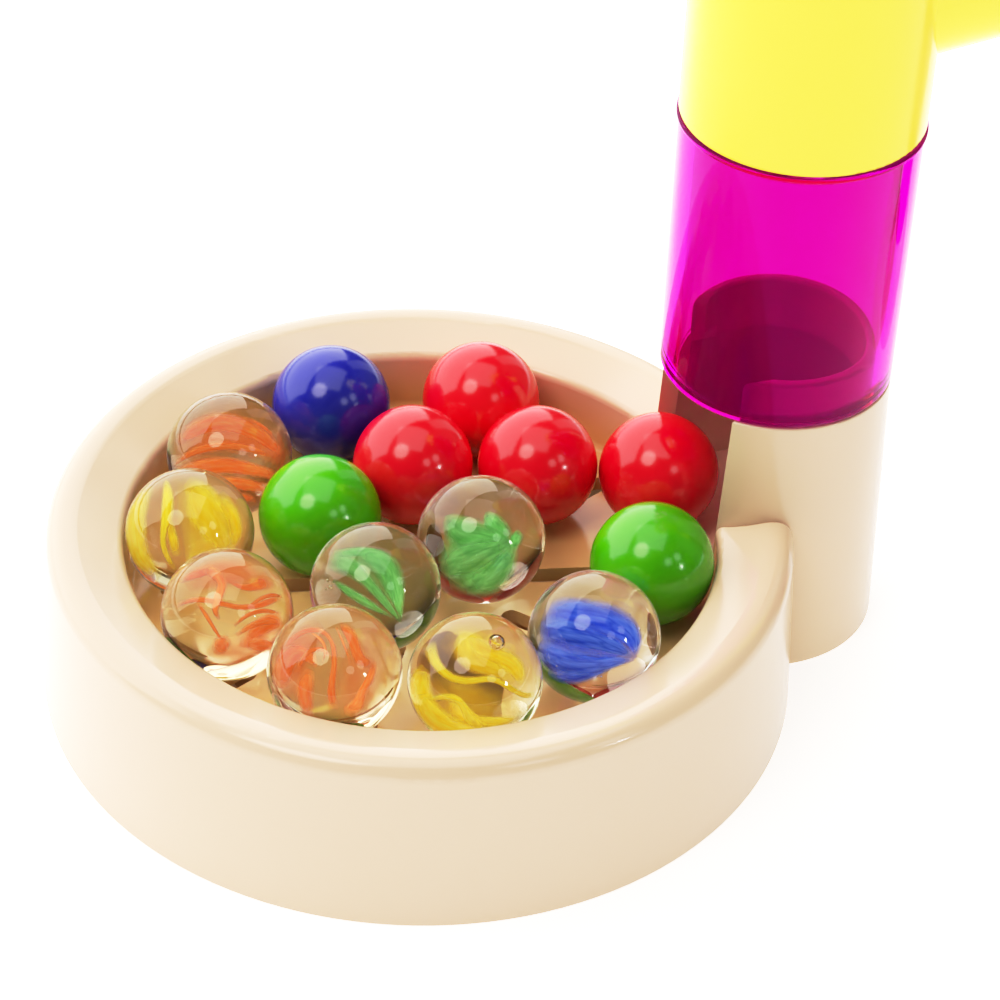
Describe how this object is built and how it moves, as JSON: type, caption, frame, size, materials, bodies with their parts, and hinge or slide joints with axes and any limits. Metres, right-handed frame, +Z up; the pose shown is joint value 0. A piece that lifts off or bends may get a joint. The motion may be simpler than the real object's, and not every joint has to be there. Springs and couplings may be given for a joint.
{
  "type": "marble run",
  "caption": "Marble run: round catch tray of marbles with an outlet column, clear stacking tubes, a sloping open chute and a start funnel.",
  "frame": {"origin": "on the table under the middle of the run, at the centre of the bounding box's bottom", "axes": "+X from the catch tray to the far tower, +Z up"},
  "size_m": [0.219, 0.095, 0.1452],
  "materials": {
    "cream": "glossy moulded plastic",
    "clear_purple": "clear tinted plastic",
    "yellow": "glossy moulded plastic",
    "red_glass": "opaque glossy glass",
    "blue_glass": "opaque glossy glass",
    "green_glass": "opaque glossy glass",
    "clear_glass": "clear glass with coloured ribbons"
  },
  "bodies": {
    "base": {"catch_tray": "cream", "outlet_column": "cream", "far_foot": "cream"},
    "purple_tube": {"purple_tube": "clear_purple"},
    "far_tube_lower": {"far_tube_lower": "clear_purple"},
    "far_tube_upper": {"far_tube_upper": "clear_purple"},
    "chute": {"chute": "yellow"},
    "start_funnel": {"start_funnel": "clear_purple"},
    "marble_red_1": {"marble_red_1": "red_glass"},
    "marble_red_2": {"marble_red_2": "red_glass"},
    "marble_red_3": {"marble_red_3": "red_glass"},
    "marble_red_4": {"marble_red_4": "red_glass"},
    "marble_blue": {"marble_blue": "blue_glass"},
    "marble_green_1": {"marble_green_1": "green_glass"},
    "marble_green_2": {"marble_green_2": "green_glass"},
    "glass_orange_1": {"glass_orange_1": "clear_glass"},
    "glass_orange_2": {"glass_orange_2": "clear_glass"},
    "glass_orange_3": {"glass_orange_3": "clear_glass"},
    "glass_yellow_1": {"glass_yellow_1": "clear_glass"},
    "glass_yellow_2": {"glass_yellow_2": "clear_glass"},
    "glass_green_1": {"glass_green_1": "clear_glass"},
    "glass_green_2": {"glass_green_2": "clear_glass"},
    "glass_blue": {"glass_blue": "clear_glass"}
  },
  "joints": [
    {"name": "purple_tube_turn", "type": "hinge", "parent": "base", "child": "purple_tube", "pos_m": [-0.01545, 0, 0.037], "axis": [0, 0, 1], "continuous": true},
    {"name": "far_tube_lower_lift", "type": "slide", "parent": "base", "child": "far_tube_lower", "axis": [0, 0, 1], "range_m": [0, 0.03]},
    {"name": "far_tube_upper_lift", "type": "slide", "parent": "far_tube_lower", "child": "far_tube_upper", "axis": [0, 0, 1], "range_m": [0, 0.03]},
    {"name": "chute_lift", "type": "slide", "parent": "far_tube_upper", "child": "chute", "axis": [0, 0, 1], "range_m": [0, 0.03]},
    {"name": "start_funnel_lift", "type": "slide", "parent": "chute", "child": "start_funnel", "axis": [0, 0, 1], "range_m": [0, 0.03]},
    {"name": "marble_red_1_lift", "type": "slide", "parent": "base", "child": "marble_red_1", "axis": [0, 0, 1], "range_m": [0, 0.03]},
    {"name": "marble_red_2_lift", "type": "slide", "parent": "base", "child": "marble_red_2", "axis": [0, 0, 1], "range_m": [0, 0.03]},
    {"name": "marble_red_3_lift", "type": "slide", "parent": "base", "child": "marble_red_3", "axis": [0, 0, 1], "range_m": [0, 0.03]},
    {"name": "marble_red_4_roll", "type": "slide", "parent": "base", "child": "marble_red_4", "axis": [0.9841, -0.1778, 0], "range_m": [0, 0.013]},
    {"name": "marble_blue_lift", "type": "slide", "parent": "base", "child": "marble_blue", "axis": [0, 0, 1], "range_m": [0, 0.03]},
    {"name": "marble_green_1_lift", "type": "slide", "parent": "base", "child": "marble_green_1", "axis": [0, 0, 1], "range_m": [0, 0.03]},
    {"name": "marble_green_2_lift", "type": "slide", "parent": "base", "child": "marble_green_2", "axis": [0, 0, 1], "range_m": [0, 0.03]},
    {"name": "glass_orange_1_lift", "type": "slide", "parent": "base", "child": "glass_orange_1", "axis": [0, 0, 1], "range_m": [0, 0.03]},
    {"name": "glass_orange_2_lift", "type": "slide", "parent": "base", "child": "glass_orange_2", "axis": [0, 0, 1], "range_m": [0, 0.03]},
    {"name": "glass_orange_3_lift", "type": "slide", "parent": "base", "child": "glass_orange_3", "axis": [0, 0, 1], "range_m": [0, 0.03]},
    {"name": "glass_yellow_1_lift", "type": "slide", "parent": "base", "child": "glass_yellow_1", "axis": [0, 0, 1], "range_m": [0, 0.03]},
    {"name": "glass_yellow_2_lift", "type": "slide", "parent": "base", "child": "glass_yellow_2", "axis": [0, 0, 1], "range_m": [0, 0.03]},
    {"name": "glass_green_1_lift", "type": "slide", "parent": "base", "child": "glass_green_1", "axis": [0, 0, 1], "range_m": [0, 0.03]},
    {"name": "glass_green_2_lift", "type": "slide", "parent": "base", "child": "glass_green_2", "axis": [0, 0, 1], "range_m": [0, 0.03]},
    {"name": "glass_blue_lift", "type": "slide", "parent": "base", "child": "glass_blue", "axis": [0, 0, 1], "range_m": [0, 0.03]}
  ]
}
